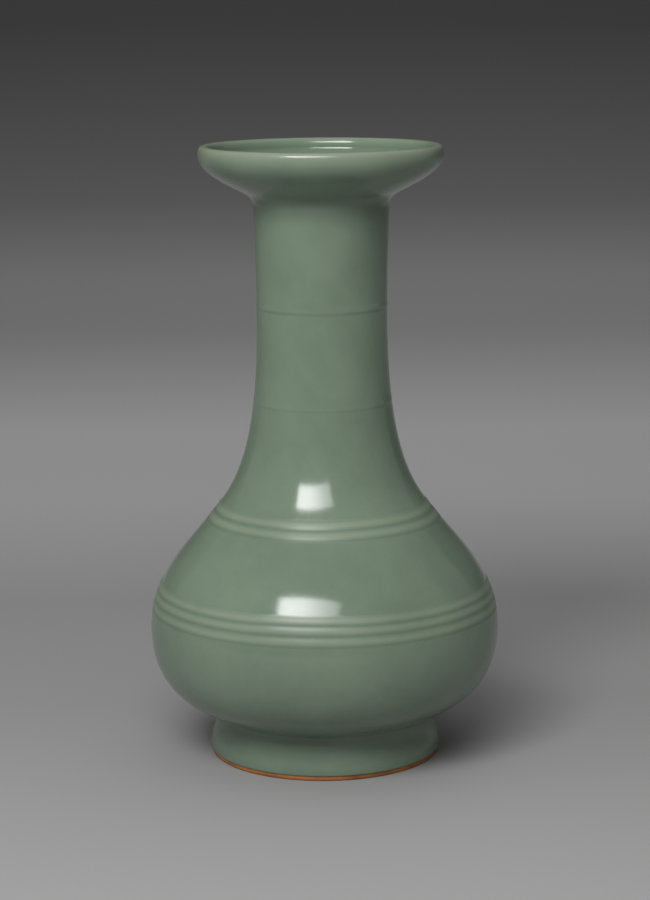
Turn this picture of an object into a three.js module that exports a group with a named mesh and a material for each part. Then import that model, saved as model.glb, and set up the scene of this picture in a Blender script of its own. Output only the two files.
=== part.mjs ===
import * as THREE from 'three';

// Bamboo-joint vase in celadon stoneware: a squat round belly, a long neck with two joints like those of a
// bamboo cane, and a shallow dish for a mouth. It is thrown on the wheel in sections, which are luted end to
// end with slip, turned, glazed inside and out, and fired standing on the bare edge of its foot ring.
// Millimetres, +Z up. The axis of the vase is the z axis and the foot stands on z = 0.

// Heights up the glazed outline, each measured from the place before it
const footSwellHeight = 4.5;
const swellToFootWaist = 13;
const footWaistToCrease = 4;
const creaseToBelly = 42;
const bellyToFlare = 68;
const flareToWaist = 89;
const waistToNeckTop = 50;
const neckTopToDish = 7.3;
const dishToRim = 17.9;
const rimToCrest = 4.3;

// Radii of the glazed outline: of foot, belly, flare and waist, and how far the others stand in or out from
// the place before them
const footRadius = 57.2;
const footWaistInset = 2.6;
const creaseReach = 1.5;
const bellyRadius = 85.9;
const flareRadius = 47;
const waistRadius = 31.66;
const neckTopReach = 1.24;
const dishRootReach = 5.3;
const rimReach = 21;
const lipCrestInset = 2.8;

// Directions of the outline, in degrees up from level
const bellyAngle = 24.3;
const flareAngle = 121.7;
const dishAngle = 27;

// Foot and floor
const footEdgeInset = 0.7;
const footEdgeBevel = 0.8;
const bareEdgeHeight = 2.3;
const footRingWidth = 8;
const recessDepth = 9;
const baseThickness = 6.5;
const floorCurveReach = 20.5;

// Walls and coats
const bellyWall = 5;
const neckWall = 4.4;
const dishWall = 4;
const glaze = 0.8;
const slip = 0.6;

// Raised lines turned in the clay: crests above the widest line of the belly, crests below the flare of the
// shoulder, and the size of one line
const bellyRidgeRises = [12.2, 17.2, 21.6];
const shoulderRidgeDrops = [11.3, 7];
const ridgeLift = 0.45;
const ridgeHalfWidth = 2.15;

// Joints of the cane, above the flare and above the waist: a slow swell above a sharp step in
const lowerJointRise = 44.9;
const upperJointRise = 2.3;
const jointLift = 0.3;
const jointSwell = 3;
const jointStep = 1;

// Places where two thrown sections meet: above the waist of the foot, below the flare and below each joint
const footSeamRise = 1.9;
const shoulderSeamDrop = 3.1;
const jointSeamDrop = 2;

// Fineness of the turned surfaces
const turns = 28;
const outlineStep = 12;
const cavityStep = 26;
const leastStep = 0.2;

// Colours of fired clay, burnt bare clay, slip and celadon glaze
const clayColour = 0xc9c0b2;
const bareClayColour = 0x8a5b3a;
const slipColour = 0xd6cdbf;
const glazeColour = 0x7f9278;

const rad = THREE.MathUtils.degToRad;
const point = (r, z) => new THREE.Vector2(r, z);
const towards = (from, degrees, reach) =>
  point(from.x + reach * Math.cos(rad(degrees)), from.y + reach * Math.sin(rad(degrees)));

// A smooth stretch of outline: it leaves one point and reaches the next in the given directions,
// and each reach is a share of the straight distance between the two
function stretch(from, leaving, leaveShare, to, arriving, arriveShare) {
  const gap = from.distanceTo(to);
  const first = towards(from, leaving, gap * leaveShare);
  const second = towards(to, arriving + 180, gap * arriveShare);
  return new THREE.CubicBezierCurve(from, first, second, to);
}

// Radii of the outline and of the foot ring
const footWaistRadius = footRadius - footWaistInset;
const creaseRadius = footWaistRadius + creaseReach;
const neckTopRadius = waistRadius + neckTopReach;
const dishRootRadius = neckTopRadius + dishRootReach;
const rimRadius = dishRootRadius + rimReach;
const lipCrestRadius = rimRadius - lipCrestInset;
const footEdgeRadius = footRadius - footEdgeInset;
const recessRadius = footEdgeRadius - footRingWidth;
const floorFlatRadius = recessRadius - floorCurveReach;

// Heights above the table, and those of the ridges, joints and seams
const footWaistHeight = footSwellHeight + swellToFootWaist;
const creaseHeight = footWaistHeight + footWaistToCrease;
const bellyHeight = creaseHeight + creaseToBelly;
const flareHeight = bellyHeight + bellyToFlare;
const waistHeight = flareHeight + flareToWaist;
const neckTopHeight = waistHeight + waistToNeckTop;
const dishRootHeight = neckTopHeight + neckTopToDish;
const rimHeight = dishRootHeight + dishToRim;
const vaseHeight = rimHeight + rimToCrest;
const floorHeight = recessDepth + baseThickness;
const ridgeHeights = [
  ...bellyRidgeRises.map((rise) => bellyHeight + rise),
  ...shoulderRidgeDrops.map((drop) => flareHeight - drop),
];
const jointHeights = [flareHeight + lowerJointRise, waistHeight + upperJointRise];
const footSeam = footWaistHeight + footSeamRise;
const bellySeam = bellyHeight;
const shoulderSeam = flareHeight - shoulderSeamDrop;
const [lowerJointSeam, upperJointSeam] = jointHeights.map((crest) => crest - jointSeamDrop);
const dishSeam = neckTopHeight;

const upright = 90;
const footSwell = point(footRadius, footSwellHeight);
const footWaist = point(footWaistRadius, footWaistHeight);
const crease = point(creaseRadius, creaseHeight);
const belly = point(bellyRadius, bellyHeight);
const flare = point(flareRadius, flareHeight);
const waist = point(waistRadius, waistHeight);
const neckTop = point(neckTopRadius, neckTopHeight);
const dishRoot = point(dishRootRadius, dishRootHeight);
const rim = point(rimRadius, rimHeight);
const lipCrest = point(lipCrestRadius, vaseHeight);

// The glazed outline from the swell of the foot up to the rim, before any raised line is added
const outline = [
  stretch(footSwell, upright, 0.35, footWaist, upright, 0.35),
  stretch(footWaist, upright, 0.45, crease, bellyAngle, 0.3),
  stretch(crease, bellyAngle, 0.332, belly, upright, 0.507),
  stretch(belly, upright, 0.387, flare, flareAngle, 0.34),
  stretch(flare, flareAngle, 0.213, waist, upright, 0.518),
  stretch(waist, upright, 0.35, neckTop, upright - 2, 0.35),
  stretch(neckTop, upright - 2, 0.45, dishRoot, dishAngle, 0.35),
  stretch(dishRoot, dishAngle, 0.43, rim, upright, 0.27),
];

// Height and direction of the outline at a height, found by halving
function outlineAt(z) {
  const curve = outline.find((part) => z <= part.v3.y) ?? outline[outline.length - 1];
  let low = 0;
  let high = 1;
  for (let i = 0; i < 40; i += 1) {
    const middle = (low + high) / 2;
    if (curve.getPoint(middle).y < z) low = middle;
    else high = middle;
  }
  return { place: curve.getPoint(high), along: curve.getTangent(high) };
}

// How far the raised lines and joints lift the surface at a height
function lift(z) {
  const hump = (distance, reach) => (distance < reach ? (1 + Math.cos((Math.PI * distance) / reach)) / 2 : 0);
  const ridges = ridgeHeights.map((crest) => ridgeLift * hump(Math.abs(z - crest), ridgeHalfWidth));
  const joints = jointHeights
    .map((crest) => jointLift * hump(Math.abs(z - crest), z < crest ? jointStep : jointSwell));
  return Math.max(...ridges, ...joints);
}

// A point at a given depth under the outline, square to it
function under(z, depth) {
  const { place, along } = outlineAt(z);
  return point(place.x - along.y * depth, place.y + along.x * depth);
}

const glazeTop = (z) => under(z, -lift(z));
const clayTop = (z) => under(z, glaze - lift(z));

// Thickness of the clay wall at a height
function wallAt(z) {
  const rise = THREE.MathUtils.smoothstep(z, bellyHeight, flareHeight);
  const open = THREE.MathUtils.smoothstep(z, neckTopHeight, rimHeight);
  return bellyWall + (neckWall - bellyWall) * rise + (dishWall - neckWall) * open;
}
const clayInside = (z) => under(z, glaze + wallAt(z));
const glazeInside = (z) => under(z, 2 * glaze + wallAt(z));

// The floor of the cavity sweeps up from a flat middle to the wall at the belly
const bowlRim = clayInside(bellyHeight);
const bowl = new THREE.CubicBezierCurve(
  point(floorFlatRadius, floorHeight),
  point(floorFlatRadius + (bowlRim.x - floorFlatRadius) * 0.33, floorHeight),
  point(bowlRim.x, floorHeight + (bellyHeight - floorHeight) * 0.5),
  bowlRim,
);

// The bowl from its start up to where it passes over the edge of the base, and from there to the belly
function bowlSplit() {
  let low = 0;
  let high = 1;
  for (let i = 0; i < 40; i += 1) {
    const middle = (low + high) / 2;
    if (bowl.getPoint(middle).x < recessRadius) low = middle;
    else high = middle;
  }
  return high;
}
const bowlShare = bowlSplit();
const bowlPoints = (from, to, count) =>
  Array.from({ length: count + 1 }, (_, i) => bowl.getPoint(from + ((to - from) * i) / count));
const bowlOverBase = bowlPoints(0, bowlShare, 3);
const bowlOverWall = bowlPoints(bowlShare, 1, 5);

// Evenly spaced heights between two, both included
function evenHeights(low, high, step) {
  const count = Math.max(1, Math.ceil((high - low) / step));
  return Array.from({ length: count + 1 }, (_, i) => low + ((high - low) * i) / count);
}

// The heights where an outer surface needs a point: even ones, those of the lines and joints, and where the
// outline turns quickly
function outerHeights(low, high) {
  const ridgeMarks = ridgeHeights.flatMap((crest) => [crest - ridgeHalfWidth, crest, crest + ridgeHalfWidth]);
  const jointMarks = jointHeights.flatMap((crest) => [crest - jointStep, crest, crest + jointSwell]);
  const turnMarks = [
    footWaistHeight,
    creaseHeight,
    creaseHeight + creaseToBelly / 6,
    neckTopHeight + neckTopToDish / 2,
    dishRootHeight,
    dishRootHeight + dishToRim / 3,
    rimHeight - dishToRim / 3,
  ];
  const inside = (z) => z > low + leastStep && z < high - leastStep;
  const marks = [...ridgeMarks, ...jointMarks, ...turnMarks].filter(inside);
  const clear = (z) => marks.every((mark) => Math.abs(mark - z) > outlineStep * 0.4);
  const even = evenHeights(low, high, outlineStep).slice(1, -1).filter(clear);
  const sorted = [low, ...marks, ...even, high].sort((a, b) => a - b);
  return sorted.filter((z, i) => i === 0 || z - sorted[i - 1] > leastStep / 2);
}

// A closed ring or disc turned from a closed profile, which runs anticlockwise round its own middle
function turned(profile) {
  const onAxis = profile[0].x === 0;
  const closed = onAxis ? profile : [...profile, profile[0].clone()];
  return new THREE.LatheGeometry(closed, turns).rotateX(Math.PI / 2);
}

const clay = { color: clayColour, roughness: 0.75, metalness: 0 };
const bareClay = { color: bareClayColour, roughness: 0.8, metalness: 0 };
const paste = { color: slipColour, roughness: 0.7, metalness: 0 };
const celadon = { color: glazeColour, roughness: 0.15, metalness: 0 };

const vase = new THREE.Group();
vase.name = 'bamboo_joint_vase';

function add(name, profile, look) {
  const mesh = new THREE.Mesh(turned(profile), new THREE.MeshStandardMaterial(look));
  mesh.name = name;
  vase.add(mesh);
}

// A thrown section of the wall between two heights
function wallSection(name, low, high) {
  const outer = outerHeights(low, high).map(clayTop);
  const inner = evenHeights(low, high, cavityStep).map(clayInside).reverse();
  add(name, [...outer, ...inner], clay);
}

// The thin ring of slip that joins two sections above a height
function slipRing(name, low) {
  const high = low + slip;
  add(name, [clayTop(low), clayTop(high), clayInside(high), clayInside(low)], paste);
}

// Outer clay of the foot, from the bare edge up to the seam
function footClay() {
  const edge = [
    point(footEdgeRadius - footEdgeBevel, 0),
    point(footEdgeRadius, footEdgeBevel),
    point(footEdgeRadius, bareEdgeHeight),
  ];
  return [...edge, ...outerHeights(footSwellHeight, footSeam).map(clayTop)];
}

function footRing() {
  add('foot_ring', [...footClay(), point(recessRadius, footSeam), point(recessRadius, 0)], bareClay);
}

function baseDisc() {
  const edge = recessRadius - slip;
  const top = bowlOverBase.filter((p) => p.x < edge - slip).reverse();
  const rimTop = point(edge, bowlOverBase[bowlOverBase.length - 1].y - slip);
  const profile = [point(0, recessDepth), point(edge, recessDepth), rimTop, ...top, point(0, floorHeight)];
  add('base_disc', profile, clay);
}

// Slip between the disc and the ring around it
function baseSlip() {
  const inner = recessRadius - slip;
  const top = bowlOverBase[bowlOverBase.length - 1];
  add('base_slip', [
    point(recessRadius, recessDepth),
    point(recessRadius, top.y),
    point(inner, top.y - slip),
    point(inner, recessDepth),
  ], paste);
}

function footSlip() {
  const high = footSeam + slip;
  add('foot_slip', [
    clayTop(footSeam),
    clayTop(high),
    point(recessRadius, high),
    point(recessRadius, footSeam),
  ], paste);
}

function lowerBelly() {
  const low = footSeam + slip;
  const outer = outerHeights(low, bellySeam).map(clayTop);
  const inner = [...bowlOverWall].reverse();
  add('lower_belly', [...outer, ...inner, point(recessRadius, low)], clay);
}

// Points of the lip at a depth under its glazed surface, from the rim over the crest to the inner edge
function lipPoints(depth) {
  const outerEdge = under(rimHeight, depth);
  const innerEdge = under(rimHeight, 2 * glaze + wallAt(rimHeight) - depth);
  const crest = point(lipCrest.x, lipCrest.y - depth);
  const over = stretch(outerEdge, upright, 0.5, crest, 180, 0.45).getPoints(4);
  const back = stretch(crest, 180, 0.45, innerEdge, -upright, 0.5).getPoints(4);
  return [...over, ...back.slice(1)];
}

// Heights of the points inside the dish, every second one of those outside
const dishInsideHeights = (low) =>
  outerHeights(low, rimHeight).filter((z, i) => i % 2 === 0 && z < rimHeight - glaze);

function dishMouth() {
  const low = dishSeam + slip;
  const outer = outerHeights(low, rimHeight).map(clayTop);
  const inner = dishInsideHeights(low).map(clayInside);
  add('dish_mouth', [...outer, ...lipPoints(glaze).slice(1), ...inner.reverse()], clay);
}

// Celadon over the whole outside, from the bare foot edge up and over the lip
function glazeOutside() {
  const seams = [footSeam, footSeam + slip, bellySeam, bellySeam + slip, shoulderSeam, shoulderSeam + slip,
    lowerJointSeam, lowerJointSeam + slip, upperJointSeam, upperJointSeam + slip, dishSeam, dishSeam + slip];
  const bounds = [footSwellHeight, ...seams, rimHeight];
  const heights = bounds.slice(1).flatMap((high, i) => outerHeights(bounds[i], high).slice(i === 0 ? 0 : 1));
  const outer = heights.map(glazeTop);
  const inner = heights.map(clayTop);
  const start = point(footEdgeRadius, bareEdgeHeight);
  const over = lipPoints(0).slice(1);
  const beneath = lipPoints(glaze).slice(1);
  add('glaze_outside', [start, ...outer, ...over, ...beneath.reverse(), ...inner.reverse()], celadon);
}

// Celadon inside, from the inner edge of the lip down the neck and over the floor
function glazeInner() {
  const seams = [bellySeam, bellySeam + slip, shoulderSeam, shoulderSeam + slip, lowerJointSeam,
    lowerJointSeam + slip, upperJointSeam, upperJointSeam + slip, dishSeam];
  const walls = seams.slice(1).flatMap((high, i) => evenHeights(seams[i], high, cavityStep).slice(1));
  const low = dishSeam + slip;
  const heights = [...walls, ...dishInsideHeights(low)];
  const edge = recessRadius - slip;
  const floorClay = [point(0, floorHeight), ...bowlOverBase.filter((p) => p.x < edge - slip),
    point(edge, bowlOverBase[bowlOverBase.length - 1].y - slip), ...bowlOverWall];
  const claySide = [...floorClay, ...heights.map(clayInside), under(rimHeight, glaze + wallAt(rimHeight))];
  const bowlGlaze = new THREE.CubicBezierCurve(
    point(floorFlatRadius, floorHeight + glaze),
    point(bowl.v1.x, floorHeight + glaze),
    point(bowlRim.x - glaze, bowl.v2.y),
    glazeInside(bellyHeight),
  ).getPoints(7);
  const openSide = [point(0, floorHeight + glaze), ...bowlGlaze, ...heights.map(glazeInside),
    under(rimHeight, 2 * glaze + wallAt(rimHeight))];
  add('glaze_inside', [...claySide, ...openSide.reverse()], celadon);
}

// Celadon under the base, inside the foot ring
function glazeUnderBase() {
  add('glaze_under_base', [
    point(0, recessDepth - glaze),
    point(recessRadius - glaze, recessDepth - glaze),
    point(recessRadius - glaze, bareEdgeHeight),
    point(recessRadius, bareEdgeHeight),
    point(recessRadius, recessDepth),
    point(recessRadius - slip, recessDepth),
    point(0, recessDepth),
  ], celadon);
}

footRing();
baseDisc();
baseSlip();
footSlip();
lowerBelly();
slipRing('belly_slip', bellySeam);
wallSection('upper_belly', bellySeam + slip, shoulderSeam);
slipRing('shoulder_slip', shoulderSeam);
wallSection('lower_neck', shoulderSeam + slip, lowerJointSeam);
slipRing('lower_joint_slip', lowerJointSeam);
wallSection('middle_neck', lowerJointSeam + slip, upperJointSeam);
slipRing('upper_joint_slip', upperJointSeam);
wallSection('upper_neck', upperJointSeam + slip, dishSeam);
slipRing('mouth_slip', dishSeam);
dishMouth();
glazeOutside();
glazeInner();
glazeUnderBase();

export default vase;
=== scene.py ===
# %% [markdown]
# The object is a bamboo-joint vase in grey-green celadon: a squat belly, a long neck with two joints like
# those of a cane, and a shallow dish for a mouth. The engineering model gives the fired clay sections as
# fixed solids. This script dresses them: it turns the glaze, the bare foot and the glazed base at full
# fineness, gives every surface a procedural finish, and lights the vase as in a quiet studio.

# %% Load the engineering model
import bpy
import math
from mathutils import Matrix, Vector


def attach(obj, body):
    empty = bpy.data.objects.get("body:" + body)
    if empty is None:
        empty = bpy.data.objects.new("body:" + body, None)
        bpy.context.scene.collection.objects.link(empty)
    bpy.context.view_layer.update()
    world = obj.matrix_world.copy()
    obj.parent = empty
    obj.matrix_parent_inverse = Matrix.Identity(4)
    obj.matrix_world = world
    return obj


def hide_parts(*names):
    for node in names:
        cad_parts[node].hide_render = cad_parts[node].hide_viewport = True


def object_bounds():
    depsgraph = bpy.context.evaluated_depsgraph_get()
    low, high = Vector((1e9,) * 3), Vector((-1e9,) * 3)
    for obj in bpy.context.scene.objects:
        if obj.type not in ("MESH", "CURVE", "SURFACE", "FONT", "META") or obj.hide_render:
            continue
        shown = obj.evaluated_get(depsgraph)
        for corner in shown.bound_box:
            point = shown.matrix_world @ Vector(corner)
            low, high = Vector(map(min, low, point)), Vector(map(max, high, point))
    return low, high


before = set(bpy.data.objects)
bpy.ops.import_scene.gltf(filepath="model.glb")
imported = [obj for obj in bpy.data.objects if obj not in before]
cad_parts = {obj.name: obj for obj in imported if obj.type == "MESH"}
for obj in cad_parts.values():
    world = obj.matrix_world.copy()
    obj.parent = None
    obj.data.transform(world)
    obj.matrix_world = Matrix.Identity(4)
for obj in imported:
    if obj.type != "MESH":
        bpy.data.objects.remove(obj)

MM = 0.001
cad_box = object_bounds()
height = cad_box[1][2] - cad_box[0][2]
print("height of the vase in mm:", round(height / MM, 1))

# %% [markdown]
# A thrown pot is described by one line, its outline, which the wheel turns into a surface. The outline is a
# chain of smooth stretches between a few places that a potter would name. Each place is a radius and a
# height in millimetres, and each stretch leaves and arrives in a given direction. Cubic curves are chosen,
# because their handles are exactly those directions.

# %% The outline of the glazed vase
FOOT_SWELL = (57.2, 4.5)
FOOT_WAIST = (54.6, 17.5)
CREASE = (56.1, 21.5)
BELLY = (85.9, 63.5)
FLARE = (47.0, 131.5)
WAIST = (31.66, 220.5)
NECK_TOP = (32.9, 270.5)
DISH_ROOT = (38.2, 277.8)
RIM = (59.2, 295.7)
LIP_CREST = (56.4, 300.0)
BELLY_RISE = 24.3
FLARE_RISE = 121.7
DISH_RISE = 27.0
UPRIGHT = 90.0


def ahead(place, degrees, reach):
    """The point at a distance from a place, in a direction in degrees up from level."""
    angle = math.radians(degrees)
    return place[0] + reach * math.cos(angle), place[1] + reach * math.sin(angle)


def stretch(start, leaving, leave_share, end, arriving, arrive_share, count):
    """Points of a smooth stretch from start to end, which leaves and arrives in the given directions."""
    gap = math.dist(start, end)
    first = ahead(start, leaving, gap * leave_share)
    second = ahead(end, arriving + 180, gap * arrive_share)
    points = []
    for i in range(count + 1):
        t = i / count
        weights = ((1 - t) ** 3, 3 * (1 - t) ** 2 * t, 3 * (1 - t) * t * t, t ** 3)
        places = (start, first, second, end)
        points.append(tuple(sum(w * p[k] for w, p in zip(weights, places)) for k in (0, 1)))
    return points


outline = [FOOT_SWELL]
for part in (
    (FOOT_SWELL, UPRIGHT, 0.35, FOOT_WAIST, UPRIGHT, 0.35, 14),
    (FOOT_WAIST, UPRIGHT, 0.45, CREASE, BELLY_RISE, 0.3, 12),
    (CREASE, BELLY_RISE, 0.332, BELLY, UPRIGHT, 0.507, 34),
    (BELLY, UPRIGHT, 0.387, FLARE, FLARE_RISE, 0.34, 120),
    (FLARE, FLARE_RISE, 0.213, WAIST, UPRIGHT, 0.518, 100),
    (WAIST, UPRIGHT, 0.35, NECK_TOP, UPRIGHT - 2, 0.35, 36),
    (NECK_TOP, UPRIGHT - 2, 0.45, DISH_ROOT, DISH_RISE, 0.35, 12),
    (DISH_ROOT, DISH_RISE, 0.43, RIM, UPRIGHT, 0.27, 26),
):
    outline += stretch(*part)[1:]
print("points on the outline:", len(outline))

# %% [markdown]
# The potter cuts raised lines into the leather-hard clay: three round the belly and two round the shoulder.
# The neck has two joints, each a slow swell that ends in a sharp step in. Both are a lift of the surface
# square to the outline, so one function gives the lift at a height and serves the shape and, later, the
# colour, because glaze runs thin and pale over each crest and pools dark beside it.

# %% Raised lines and joints
BELLY_RIDGES = (75.7, 80.7, 85.1)
SHOULDER_RIDGES = (120.2, 124.5)
RIDGE_RISE = 0.2
RIDGE_HALF = 2.2
RIDGE_TOP = 0.5
JOINTS = (176.4, 222.8)
JOINT_RISES = (0.12, 0.3)
JOINT_SWELL = 2.2
JOINT_STEP = 0.6
JOINT_LINE = 0.9
POOL_WIDTH = 1.1


def hump(distance, reach, top=0.0):
    """A soft hump: 1 from its middle out to its top's half-width, and 0 from its reach outwards."""
    share = min(max((distance - top) / (reach - top), 0.0), 1.0)
    return (1 + math.cos(math.pi * share)) / 2


def lift(z):
    """How far the raised lines and joints lift the surface at a height."""
    ridges = [RIDGE_RISE * hump(abs(z - crest), RIDGE_HALF, RIDGE_TOP) for crest in BELLY_RIDGES + SHOULDER_RIDGES]
    joints = [
        rise * hump(abs(z - crest), JOINT_STEP if z < crest else JOINT_SWELL)
        for crest, rise in zip(JOINTS, JOINT_RISES)
    ]
    return max(ridges + joints)


def thinness(z):
    """How thin the glaze has run: 1 over a raised line, less over a joint, and below 0 where it pools."""
    crests = [(crest, 1.0, RIDGE_HALF) for crest in BELLY_RIDGES + SHOULDER_RIDGES]
    crests += [(crest, rise * 3.4, JOINT_LINE) for crest, rise in zip(JOINTS, JOINT_RISES)]
    thin = max(share * hump(abs(z - crest), reach) for crest, share, reach in crests)
    pool = max(share * hump(abs(z - crest + reach), POOL_WIDTH) for crest, share, reach in crests)
    return thin - pool


def offset(points, depth):
    """The points moved square to their line: a positive depth goes into the wall."""
    moved = []
    for i, (r, z) in enumerate(points):
        before = points[max(i - 1, 0)]
        after = points[min(i + 1, len(points) - 1)]
        run = math.dist(before, after)
        along = ((after[0] - before[0]) / run, (after[1] - before[1]) / run)
        deep = depth(z) if callable(depth) else depth
        moved.append((r - along[1] * deep, z + along[0] * deep))
    return moved


# %% [markdown]
# The coat of glaze is one continuous skin: it starts just above the bare edge of the foot, runs up the
# outside, over the lip, down the neck and across the floor inside. It is modelled as that skin, with its own
# thickness, so its hidden side follows the clay.

# %% The profile of the coat of glaze
GLAZE = 0.8
GLAZE_INSIDE = 1.25
GATHER_IN_BELLY = 1.55
GLAZE_LINE = 2.3
FOOT_EDGE = 56.5
RECESS = 48.5
RECESS_DEPTH = 9.0
FLOOR = 15.5
FLOOR_FLAT = 28.0
BELLY_WALL = 5.0
NECK_WALL = 4.4
DISH_WALL = 4.0


def smooth(value, low, high):
    """0 below low, 1 above high and smooth between."""
    t = min(max((value - low) / (high - low), 0.0), 1.0)
    return t * t * (3 - 2 * t)


def wall(z):
    """Thickness of the clay at a height."""
    rise = smooth(z, BELLY[1], FLARE[1])
    opening = smooth(z, NECK_TOP[1], RIM[1])
    return BELLY_WALL + (NECK_WALL - BELLY_WALL) * rise + (DISH_WALL - NECK_WALL) * opening


above_belly = [p for p in outline if p[1] >= BELLY[1]]
bowl_rim = (BELLY[0] - GLAZE - BELLY_WALL, BELLY[1])


def cavity(depth):
    """The inside line from the floor's middle up to the rim: depth 0 is the clay, and the glaze is nearer."""
    low = depth * GATHER_IN_BELLY
    start = (FLOOR_FLAT, FLOOR + low)
    handles = (
        (FLOOR_FLAT + (bowl_rim[0] - FLOOR_FLAT) * 0.33, FLOOR + low),
        (bowl_rim[0] - low, FLOOR + (BELLY[1] - FLOOR) * 0.5),
    )
    end = (bowl_rim[0] - low, BELLY[1])
    bowl = []
    for i in range(17):
        t = i / 16
        weights = ((1 - t) ** 3, 3 * (1 - t) ** 2 * t, 3 * (1 - t) * t * t, t ** 3)
        bowl.append(tuple(sum(w * p[k] for w, p in zip(weights, (start, *handles, end))) for k in (0, 1)))
    sides = offset(above_belly, lambda z: GLAZE + wall(z) + low + (depth - low) * smooth(z, BELLY[1], FLARE[1]))
    return [(0.0, FLOOR + low)] + bowl[:-1] + sides[::3] + sides[-1:]


def lip(depth):
    """Points over the lip, from the rim to its inner edge, at a depth under the glaze."""
    outer = (RIM[0] - depth, RIM[1])
    crest = (LIP_CREST[0], LIP_CREST[1] - depth)
    inner = (RIM[0] - GLAZE - wall(RIM[1]) - GLAZE_INSIDE * (1 - depth / GLAZE), RIM[1])
    over = stretch(outer, UPRIGHT, 0.5, crest, 180, 0.45, 14)
    back = stretch(crest, 180, 0.45, inner, -UPRIGHT, 0.5, 14)
    return over[1:] + back[1:-1]


glaze_top = offset(outline, lambda z: -lift(z))
glaze_back = offset(outline, lambda z: GLAZE - lift(z))[::5]
glaze_foot = stretch((FOOT_EDGE, GLAZE_LINE), 10, 0.4, glaze_top[0], UPRIGHT, 0.5, 8)[:-1]
coat = glaze_foot + glaze_top + lip(0.0) + cavity(GLAZE_INSIDE)[::-1]
coat_back = cavity(0.0)[::4] + lip(GLAZE)[::-3] + glaze_back[::-1]
coat_profile = coat + coat_back + coat[:1]
# The whole inside counts as pooled glaze: partly the thicker glaze there, and partly painted shade inside the neck and
# mouth.
INSIDE_POOL_AND_SHADE = -0.8
first_inside = len(coat) - len(cavity(GLAZE_INSIDE))
coat_relief = [thinness(z) if i < first_inside else INSIDE_POOL_AND_SHADE for i, (r, z) in enumerate(coat_profile)]
print("points round the coat:", len(coat_profile))

# %% [markdown]
# Turning a profile is a rule, so Geometry Nodes do it. A grid gives the rows and columns, each row looks up
# its point of the profile, each column is an angle, and the two give the place on the turned surface. A
# little slow waver, as from a potter's hand and a kiln, keeps the reflections from being mechanical. Merging
# closes the seam and the poles.


# %% A wheel made of nodes
class Net:
    """Builds a node tree: node() makes one node from its type, settings and inputs, and returns an output."""

    def __init__(self, tree):
        self.tree = tree

    def node(self, kind, settings=None, inputs=None, output=0):
        made = self.tree.nodes.new(kind)
        for name, value in (settings or {}).items():
            setattr(made, name, value)
        for key, value in (inputs or {}).items():
            self.plug(value, made.inputs[key])
        return Wire(self, made.outputs[output])

    def plug(self, value, socket):
        if isinstance(value, Wire):
            self.tree.links.new(value.socket, socket)
        else:
            socket.default_value = value

    def math(self, operation, *values):
        kind = "ShaderNodeMath"
        return self.node(kind, {"operation": operation}, dict(enumerate(values)))


class Wire:
    """A socket that Python's operators work on: each adds a Math node."""

    def __init__(self, net, socket):
        self.net = net
        self.socket = socket

    def __add__(self, other):
        return self.net.math("ADD", self, other)

    def __radd__(self, other):
        return self.net.math("ADD", other, self)

    def __sub__(self, other):
        return self.net.math("SUBTRACT", self, other)

    def __rsub__(self, other):
        return self.net.math("SUBTRACT", other, self)

    def __mul__(self, other):
        return self.net.math("MULTIPLY", self, other)

    def __rmul__(self, other):
        return self.net.math("MULTIPLY", other, self)

    def __truediv__(self, other):
        return self.net.math("DIVIDE", self, other)

    def __rtruediv__(self, other):
        return self.net.math("DIVIDE", other, self)

    def __pow__(self, other):
        return self.net.math("POWER", self, other)


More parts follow.
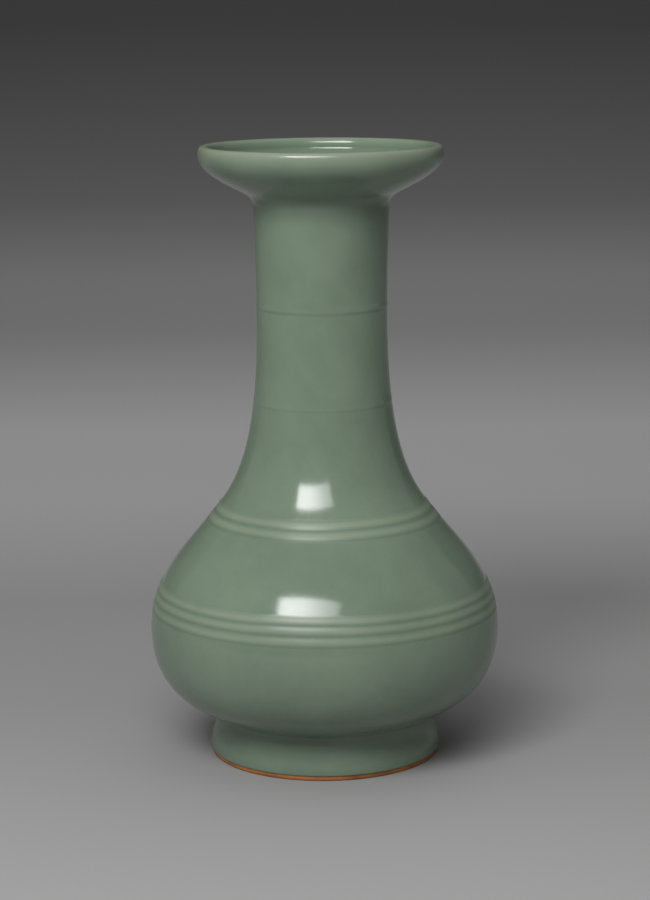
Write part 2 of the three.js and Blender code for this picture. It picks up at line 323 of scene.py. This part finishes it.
def wheel_tree():
    """The node tree that turns a profile round the z axis."""
    tree = bpy.data.node_groups.new("turn_on_wheel", "GeometryNodeTree")
    face = tree.interface
    face.new_socket("Profile", in_out="INPUT", socket_type="NodeSocketGeometry")
    for name, kind in (
        ("Rows", "NodeSocketInt"),
        ("Turns", "NodeSocketInt"),
        ("Waver", "NodeSocketFloat"),
        ("Waver scale", "NodeSocketFloat"),
        ("Seed", "NodeSocketFloat"),
        ("Finish", "NodeSocketMaterial"),
    ):
        face.new_socket(name, in_out="INPUT", socket_type=kind)
    face.new_socket("Surface", in_out="OUTPUT", socket_type="NodeSocketGeometry")
    net = Net(tree)
    given = tree.nodes.new("NodeGroupInput")
    take = {socket.name: Wire(net, socket) for socket in given.outputs if socket.name}
    rows, turns = take["Rows"], take["Turns"]
    grid = net.node("GeometryNodeMeshGrid", inputs={"Vertices X": turns + 1, "Vertices Y": rows})
    place = net.node("GeometryNodeInputPosition")
    split = net.node("ShaderNodeSeparateXYZ", inputs={0: place})
    across = Wire(net, split.socket.node.outputs["X"])
    along = Wire(net, split.socket.node.outputs["Y"])
    row = net.math("ROUND", (along + 0.5) * (rows - 1))
    look = {"data_type": "FLOAT_VECTOR", "domain": "POINT"}
    point = net.node("GeometryNodeSampleIndex", look, {"Geometry": take["Profile"], "Value": place, "Index": row})
    split_point = net.node("ShaderNodeSeparateXYZ", inputs={0: point}).socket.node
    radius = Wire(net, split_point.outputs["X"])
    level = Wire(net, split_point.outputs["Z"])
    relief = net.node("GeometryNodeInputNamedAttribute", {"data_type": "FLOAT"}, {"Name": "relief"})
    look = {"data_type": "FLOAT", "domain": "POINT"}
    raised = net.node("GeometryNodeSampleIndex", look, {"Geometry": take["Profile"], "Value": relief, "Index": row})
    kept = net.node("GeometryNodeStoreNamedAttribute", {"data_type": "FLOAT", "domain": "POINT"},
                    {"Geometry": grid, "Name": "relief", "Value": raised})
    angle = (across + 0.5) * (2 * math.pi)
    side = net.math("COSINE", angle)
    back = net.math("SINE", angle)
    spot = net.node("ShaderNodeCombineXYZ", inputs={0: radius * side, 1: radius * back, 2: level})
    drift = net.node("ShaderNodeTexNoise", {"noise_dimensions": "4D"},
                     {"Vector": spot, "W": take["Seed"], "Scale": take["Waver scale"], "Detail": 1.0})
    wide = radius + (drift - 0.5) * take["Waver"] * net.math("MINIMUM", radius * 100, 1.0)
    turned = net.node("ShaderNodeCombineXYZ", inputs={0: wide * side, 1: wide * back, 2: level})
    moved = net.node("GeometryNodeSetPosition", inputs={"Geometry": kept, "Position": turned})
    closed = net.node("GeometryNodeMergeByDistance", inputs={"Geometry": moved, "Distance": 0.000002})
    soft = net.node("GeometryNodeSetShadeSmooth", inputs={"Geometry": closed})
    real = net.node("GeometryNodeRealizeInstances", inputs={"Geometry": soft})
    dressed = net.node("GeometryNodeSetMaterial", inputs={"Geometry": real, "Material": take["Finish"]})
    result = tree.nodes.new("NodeGroupOutput")
    tree.links.new(dressed.socket, result.inputs[0])
    return tree


wheel = wheel_tree()
print("nodes in the wheel:", len(wheel.nodes))

# %% [markdown]
# Each turned piece is made the same way: its profile becomes a bare line of points, the wheel turns it, and
# the evaluated result is kept as a plain mesh whose faces point outwards.

# %% Turn a piece
import bmesh


def turn(name, profile, finish, turns, waver=0.0, seed=1.0, thin=None):
    """Turns a profile of (radius, height) in mm into a plain mesh. Each point may say how thin its glaze is."""
    line = bpy.data.meshes.new(name + "_line")
    line.from_pydata([(r * MM, 0.0, z * MM) for r, z in profile], [], [])
    relief = line.attributes.new("relief", "FLOAT", "POINT")
    for i, value in enumerate(thin or []):
        relief.data[i].value = value
    source = bpy.data.objects.new(name + "_line", line)
    bpy.context.scene.collection.objects.link(source)
    spin = source.modifiers.new("wheel", "NODES")
    spin.node_group = wheel
    sizes = {"Rows": len(profile), "Turns": turns, "Waver": waver * MM, "Waver scale": 9.0, "Seed": seed, "Finish": finish}
    for item in wheel.interface.items_tree:
        if item.in_out == "INPUT" and item.name in sizes:
            spin[item.identifier] = sizes[item.name]
    bpy.context.view_layer.update()
    evaluated = source.evaluated_get(bpy.context.evaluated_depsgraph_get())
    mesh = bpy.data.meshes.new_from_object(evaluated)
    bpy.data.objects.remove(source)
    work = bmesh.new()
    work.from_mesh(mesh)
    bmesh.ops.recalc_face_normals(work, faces=work.faces)
    if work.calc_volume(signed=True) < 0:
        bmesh.ops.reverse_faces(work, faces=work.faces)
    bmesh.ops.delete(work, geom=[edge for edge in work.edges if not edge.link_faces], context="EDGES")
    open_edges = sum(1 for edge in work.edges if not edge.is_manifold)
    work.to_mesh(mesh)
    work.free()
    mesh.name = name
    piece = bpy.data.objects.new(name, mesh)
    bpy.context.scene.collection.objects.link(piece)
    print(name, "faces", len(mesh.polygons), "open edges", open_edges)
    return piece


# %% [markdown]
# Celadon is a thick, slightly cloudy glaze with a little iron in it, fired in a smoky flame. It is grey-green
# where it lies deep, and paler and warmer where it runs thin over a crest or the lip. Tiny bubbles scatter
# light, so the colour drifts softly, and a few pinholes and specks show where a bubble burst or a grain of
# iron melted. The surface is glass, so it is glossy, with a very slight ripple.

# %% The celadon glaze


def colour(r, g, b):
    """A screen colour of 0 to 255 per channel as the linear colour that shaders use."""
    def straight(value):
        value /= 255
        return value / 12.92 if value <= 0.04045 else ((value + 0.055) / 1.055) ** 2.4
    return (straight(r), straight(g), straight(b), 1.0)


def finish(name):
    """A new material, its Net and its main shader."""
    material = bpy.data.materials.new(name)
    material.use_nodes = True
    return material, Net(material.node_tree), material.node_tree.nodes["Principled BSDF"]


def blend(net, share, first, second):
    """A colour between two, by a share from 0 to 1."""
    made = net.node("ShaderNodeMix", {"data_type": "RGBA"}, {0: share, 6: first, 7: second}, 2)
    return made


def ramp(net, value, stops):
    """A colour that runs through stops, each a place from 0 to 1 and a colour."""
    made = net.node("ShaderNodeValToRGB", inputs={0: value})
    band = made.socket.node.color_ramp
    while len(band.elements) < len(stops):
        band.elements.new(0.5)
    for element, (place, tone) in zip(band.elements, stops):
        element.position = place
        element.color = tone
    return made


def step(net, value, low, high):
    """0 below low, 1 above high and smooth between."""
    return net.node("ShaderNodeMapRange", {"interpolation_type": "SMOOTHSTEP"},
                    {"Value": value, "From Min": low, "From Max": high})


def speckle(net, place, scale, size, keep, seed):
    """Round specks: a mask that is 1 in a few cells of a given scale, of a given size."""
    field = net.node("ShaderNodeTexVoronoi", {"voronoi_dimensions": "4D"}, {"Vector": place, "W": seed, "Scale": scale})
    cell = field.socket.node
    pick = net.node("ShaderNodeSeparateColor", inputs={0: Wire(net, cell.outputs["Color"])})
    return (1 - step(net, field, size * 0.6, size)) * step(net, pick, 1 - keep, 1 - keep + 0.01)


def celadon():
    material, net, shader = finish("celadon_glaze")
    place = net.node("ShaderNodeTexCoord", output=3)
    level = net.node("ShaderNodeSeparateXYZ", inputs={0: place}, output="Z")
    deep = colour(106, 123, 105)
    pale = colour(118, 135, 116)
    cloud = net.node("ShaderNodeTexNoise", inputs={"Vector": place, "Scale": 26.0, "Detail": 4.0, "Roughness": 0.55})
    grain = net.node("ShaderNodeTexNoise", inputs={"Vector": place, "Scale": 420.0, "Detail": 2.0})
    drift = step(net, cloud, 0.3, 0.7)
    base = blend(net, drift * 0.8 + (grain - 0.5) * 0.35, deep, pale)
    relief = net.node("ShaderNodeAttribute", {"attribute_name": "relief"}, output="Fac")
    thin = step(net, relief, 0.0, 1.0)
    pool_and_inside_shade = 1 - step(net, relief, -1.0, 0.0)
    base = blend(net, thin * (0.4 + 0.28 * drift), base, colour(134, 147, 126))
    # Darker green where glaze pools below each crest, and painted shade over the whole inside of neck and mouth.
    base = blend(net, pool_and_inside_shade * 0.35, base, colour(82, 104, 84))
    crest = step(net, level, (LIP_CREST[1] - 7) * MM, (LIP_CREST[1] - 1) * MM)
    flat = net.node("ShaderNodeVectorMath", {"operation": "MULTIPLY"}, {0: place, 1: (1, 1, 0)})
    axis_distance = net.node("ShaderNodeVectorMath", {"operation": "LENGTH"}, {0: flat}, 1)
    crest = crest * step(net, axis_distance, 52.5 * MM, 56 * MM)
    base = blend(net, crest * 0.55, base, colour(140, 148, 129))
    iron = speckle(net, place, 55.0, 0.018, 0.05, 3.0)
    base = blend(net, iron * 0.7, base, colour(70, 66, 48))
    pits = speckle(net, place, 80.0, 0.02, 0.05, 7.0)
    base = blend(net, pits * 0.5, base, colour(186, 190, 170))
    net.plug(base, shader.inputs["Base Color"])
    carved = 0.0
    for low, high in ((BELLY_RIDGES[0], BELLY_RIDGES[-1]), (SHOULDER_RIDGES[0], SHOULDER_RIDGES[-1])):
        above = step(net, level, (low - 4) * MM, (low - RIDGE_HALF) * MM)
        carved = carved + above * (1 - step(net, level, (high + 1.6) * MM, (high + 3.2) * MM))
    net.plug(0.1 + grain * 0.06 + pits * 0.3 + carved * 0.26 + crest * 0.12, shader.inputs["Roughness"])
    shader.inputs["IOR"].default_value = 1.5
    shader.inputs["Specular IOR Level"].default_value = 0.5
    ripple = net.node("ShaderNodeTexNoise", inputs={"Vector": place, "Scale": 60.0, "Detail": 1.0})
    height_map = ripple * 0.35 + grain * 0.05 - pits * 0.6
    bump = net.node("ShaderNodeBump", inputs={"Strength": 0.12, "Distance": 0.0006, "Height": height_map})
    net.plug(bump, shader.inputs["Normal"])
    return material


celadon_glaze = celadon()
coat_piece = turn("celadon_coat", coat_profile, celadon_glaze, 160, 0.07, 4.0, coat_relief)
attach(coat_piece, "root")
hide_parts("glaze_outside", "glaze_inside")

# %% [markdown]
# The foot is turned once the clay is leather-hard, and its lowest edge is wiped clean, so that the vase
# doesn't stick to the kiln shelf. Where the iron-bearing clay is bare, the last of the firing burns it
# orange-brown. A matt, grainy finish with darker scorched patches shows that.

# %% The bare foot ring
foot_clay = [p for p in offset(outline, GLAZE) if p[1] <= 19.4]
foot_profile = (
    [(RECESS, 0.9), (RECESS + 0.9, 0.0), (FOOT_EDGE - 0.9, 0.0), (FOOT_EDGE - 0.25, 0.25), (FOOT_EDGE, 0.9)]
    + [(FOOT_EDGE, GLAZE_LINE)] + foot_clay[::2] + [(foot_clay[-1][0], 19.4), (RECESS, 19.4)]
)
foot_profile = foot_profile + foot_profile[:1]


def bare_clay():
    material, net, shader = finish("burnt_bare_clay")
    place = net.node("ShaderNodeTexCoord", output=3)
    patch = net.node("ShaderNodeTexNoise", inputs={"Vector": place, "Scale": 45.0, "Detail": 5.0, "Roughness": 0.6})
    grit = net.node("ShaderNodeTexNoise", inputs={"Vector": place, "Scale": 900.0, "Detail": 3.0})
    base = blend(net, step(net, patch, 0.35, 0.7), colour(176, 112, 60), colour(126, 74, 38))
    base = blend(net, step(net, grit, 0.6, 0.75) * 0.5, base, colour(92, 58, 36))
    net.plug(base, shader.inputs["Base Color"])
    net.plug(0.62 + grit * 0.2, shader.inputs["Roughness"])
    bump = net.node("ShaderNodeBump", inputs={"Strength": 0.4, "Distance": 0.0004, "Height": grit + patch * 0.5})
    net.plug(bump, shader.inputs["Normal"])
    return material


foot_piece = turn("bare_foot_ring", foot_profile, bare_clay(), 180, waver=0.08, seed=4.0)
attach(foot_piece, "root")
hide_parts("foot_ring")

# %% [markdown]
# Under the base, inside the foot ring, the potter glazes again. The coat stops a little above the bare edge
# and meets the ring in a soft fillet, where the glaze gathers.

# %% The glazed base
base_fillet = [
    (RECESS - GLAZE - 2.5 + 2.5 * math.sin(math.radians(a)), RECESS_DEPTH - GLAZE - 2.5 + 2.5 * math.cos(math.radians(a)))
    for a in range(0, 91, 10)
]
base_profile = (
    [(0.0, RECESS_DEPTH - 0.05)] + [(r, RECESS_DEPTH - 0.05) for r in (16.0, 32.0, 46.0, RECESS - 0.05)]
    + [(RECESS - 0.05, GLAZE_LINE)] + [(RECESS - GLAZE * 0.6, GLAZE_LINE), (RECESS - GLAZE, GLAZE_LINE + 0.7)]
    + base_fillet[::-1] + [(r, RECESS_DEPTH - GLAZE) for r in (32.0, 16.0)] + [(0.0, RECESS_DEPTH - GLAZE)]
)
base_piece = turn("celadon_base", base_profile, celadon_glaze, 120, waver=0.1, seed=9.0)
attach(base_piece, "root")
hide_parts("glaze_under_base")

# %% [markdown]
# The thrown sections and the slip between them stay as the engineering model has them, because the glaze
# covers them all over. They still get what they are made of: a pale, fine-grained stoneware body, and a
# smoother slip.

# %% Clay and slip under the glaze


def fired_clay(name, light, dark, roughness):
    material, net, shader = finish(name)
    place = net.node("ShaderNodeTexCoord", output=3)
    cloud = net.node("ShaderNodeTexNoise", inputs={"Vector": place, "Scale": 70.0, "Detail": 4.0})
    grit = net.node("ShaderNodeTexNoise", inputs={"Vector": place, "Scale": 800.0, "Detail": 2.0})
    base = blend(net, step(net, cloud, 0.3, 0.7) * 0.6 + step(net, grit, 0.55, 0.75) * 0.4, light, dark)
    net.plug(base, shader.inputs["Base Color"])
    net.plug(roughness + grit * 0.15, shader.inputs["Roughness"])
    bump = net.node("ShaderNodeBump", inputs={"Strength": 0.3, "Distance": 0.0003, "Height": grit})
    net.plug(bump, shader.inputs["Normal"])
    return material


section_clay = fired_clay("stoneware_body", colour(206, 199, 186), colour(176, 168, 152), 0.7)
joint_slip = fired_clay("luting_slip", colour(216, 209, 196), colour(196, 188, 174), 0.6)
for name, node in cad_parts.items():
    if node.name and not name.startswith("glaze") and name != "foot_ring":
        kind = joint_slip if name.endswith("slip") else section_clay
        node.data.materials.clear()
        node.data.materials.append(kind)
print("carried-over nodes:", len(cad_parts))

# %% [markdown]
# The vase stands on a seamless sweep of pale grey paper. The sweep is one curved sheet, and its tone follows its
# own length. That tone is painted light and shade: bright in front, painted shade in a darker band just behind
# the vase, paler paper further back, and a painted falloff, darker towards the top, where less light reaches it.

# %% The studio sweep
SWEEP_START = -2.6
SWEEP_BEND = 1.5
SWEEP_RADIUS = 0.9
SWEEP_TOP = 2.6


def sweep():
    line = [(SWEEP_START, 0.0), (-0.6, 0.0), (0.0, 0.0), (0.8, 0.0)]
    line += [
        (SWEEP_BEND + SWEEP_RADIUS * math.sin(math.radians(a)), SWEEP_RADIUS * (1 - math.cos(math.radians(a))))
        for a in range(0, 91, 6)
    ]
    line += [(SWEEP_BEND + SWEEP_RADIUS, SWEEP_TOP)]
    half = 3.0
    points = [(x, y, z) for y, z in line for x in (-half, half)]
    faces = [(2 * i, 2 * i + 1, 2 * i + 3, 2 * i + 2) for i in range(len(line) - 1)]
    mesh = bpy.data.meshes.new("paper_sweep")
    mesh.from_pydata(points, [], faces)
    mesh.shade_smooth()
    sheet = bpy.data.objects.new("paper_sweep", mesh)
    bpy.context.scene.collection.objects.link(sheet)
    return sheet


def paper():
    material, net, shader = finish("grey_paper_painted_light")
    place = net.node("ShaderNodeTexCoord", output=3)
    spot = net.node("ShaderNodeSeparateXYZ", inputs={0: place}).socket.node
    deep = Wire(net, spot.outputs["Y"])
    high = Wire(net, spot.outputs["Z"])
    along = (deep + high * 2.2 + 0.5) / 4
    # Painted light and shade along the sweep: a darker band just behind the vase and a falloff darker towards the top.
    stops = ((0.0, 171), (0.145, 150), (0.2, 150), (0.275, 180), (0.35, 192), (0.385, 188), (0.58, 163), (0.665, 128),
             (0.73, 115), (0.845, 91), (1.0, 82))
    base = ramp(net, along, [(place, colour(tone, tone, tone)) for place, tone in stops])
    net.plug(base, shader.inputs["Base Color"])
    shader.inputs["Roughness"].default_value = 0.9
    shader.inputs["Specular IOR Level"].default_value = 0.1
    return material


floor = sweep()
floor.data.materials.append(paper())

# %% [markdown]
# One wide softbox stands high in front and a little to the left. Its reflection is the bright patch on the
# shoulder and again on the belly, so its place was worked out backwards from where those patches lie. Three
# weak panels, overhead, on the left and behind on the right, only soften the shadows and don't show in the glaze.

# %% Lights


def softbox(name, azimuth, elevation, distance, width, tall, power):
    """A rectangular lamp that looks at the middle of the vase. Azimuth 0 is the camera's side."""
    lamp = bpy.data.lights.new(name, "AREA")
    lamp.shape = "RECTANGLE"
    lamp.size = width
    lamp.size_y = tall
    lamp.energy = power
    holder = bpy.data.objects.new(name, lamp)
    target = Vector((0, 0, 0.13))
    a, e = math.radians(azimuth), math.radians(elevation)
    away = Vector((math.sin(a) * math.cos(e), -math.cos(a) * math.cos(e), math.sin(e)))
    holder.location = target + away * distance
    holder.rotation_euler = (-away).to_track_quat("-Z", "Y").to_euler()
    bpy.context.scene.collection.objects.link(holder)
    return holder


key = softbox("key_softbox", -13, 41.2, 1.5, 1.0, 0.49, 25)
panels = [
    softbox("overhead_panel", 0, 82, 1.6, 1.5, 1.5, 4),
    softbox("left_panel", -60, 35, 2.0, 1.8, 1.8, 3.5),
]
panels.append(softbox("rear_panel", 165, 45, 2.0, 1.6, 1.6, 3.5))
for panel in panels:
    panel.visible_glossy = False


def fade_to_the_right(lamp, least):
    """Lets a lamp's face grow dimmer from its left edge to its right one, down to a least share."""
    lamp.data.use_nodes = True
    net = Net(lamp.data.node_tree)
    across = net.node("ShaderNodeSeparateXYZ", inputs={0: net.node("ShaderNodeNewGeometry", output=5)})
    strength = 1 - (1 - least) * step(net, across, 0.25, 1.0)
    net.plug(strength, lamp.data.node_tree.nodes["Emission"].inputs["Strength"])


fade_to_the_right(key, 0.35)
world = bpy.data.worlds.new("studio_air")
world.use_nodes = True
world.node_tree.nodes["Background"].inputs["Color"].default_value = (0.5, 0.5, 0.5, 1)
world.node_tree.nodes["Background"].inputs["Strength"].default_value = 0.36
bpy.context.scene.world = world
bpy.context.scene.view_settings.view_transform = "Standard"

# %% [markdown]
# The camera stands 1.2 m away, a little above the mouth, with a long lens that looks slightly down. Its
# place, lens and tilt were worked out from the ellipses of mouth and foot and from the outline.

# %% Camera
CAMERA_PLACE = (0.9 * MM, -1203.1 * MM, 378.3 * MM)
CAMERA_LENS = 99.83
CAMERA_DOWN = 10.697
CAMERA_ROLL = -0.479
view = bpy.data.cameras.new("camera")
view.lens = CAMERA_LENS
view.sensor_width = 36
view.sensor_fit = "AUTO"
eye = bpy.data.objects.new("camera", view)
eye.location = CAMERA_PLACE
turned_down = Vector((0, 0, 0))
eye.rotation_mode = "XYZ"
from mathutils import Matrix
aim = Matrix.Rotation(math.radians(90 - CAMERA_DOWN), 4, "X") @ Matrix.Rotation(math.radians(CAMERA_ROLL), 4, "Z")
eye.rotation_euler = aim.to_euler()
bpy.context.scene.collection.objects.link(eye)
bpy.context.scene.camera = eye
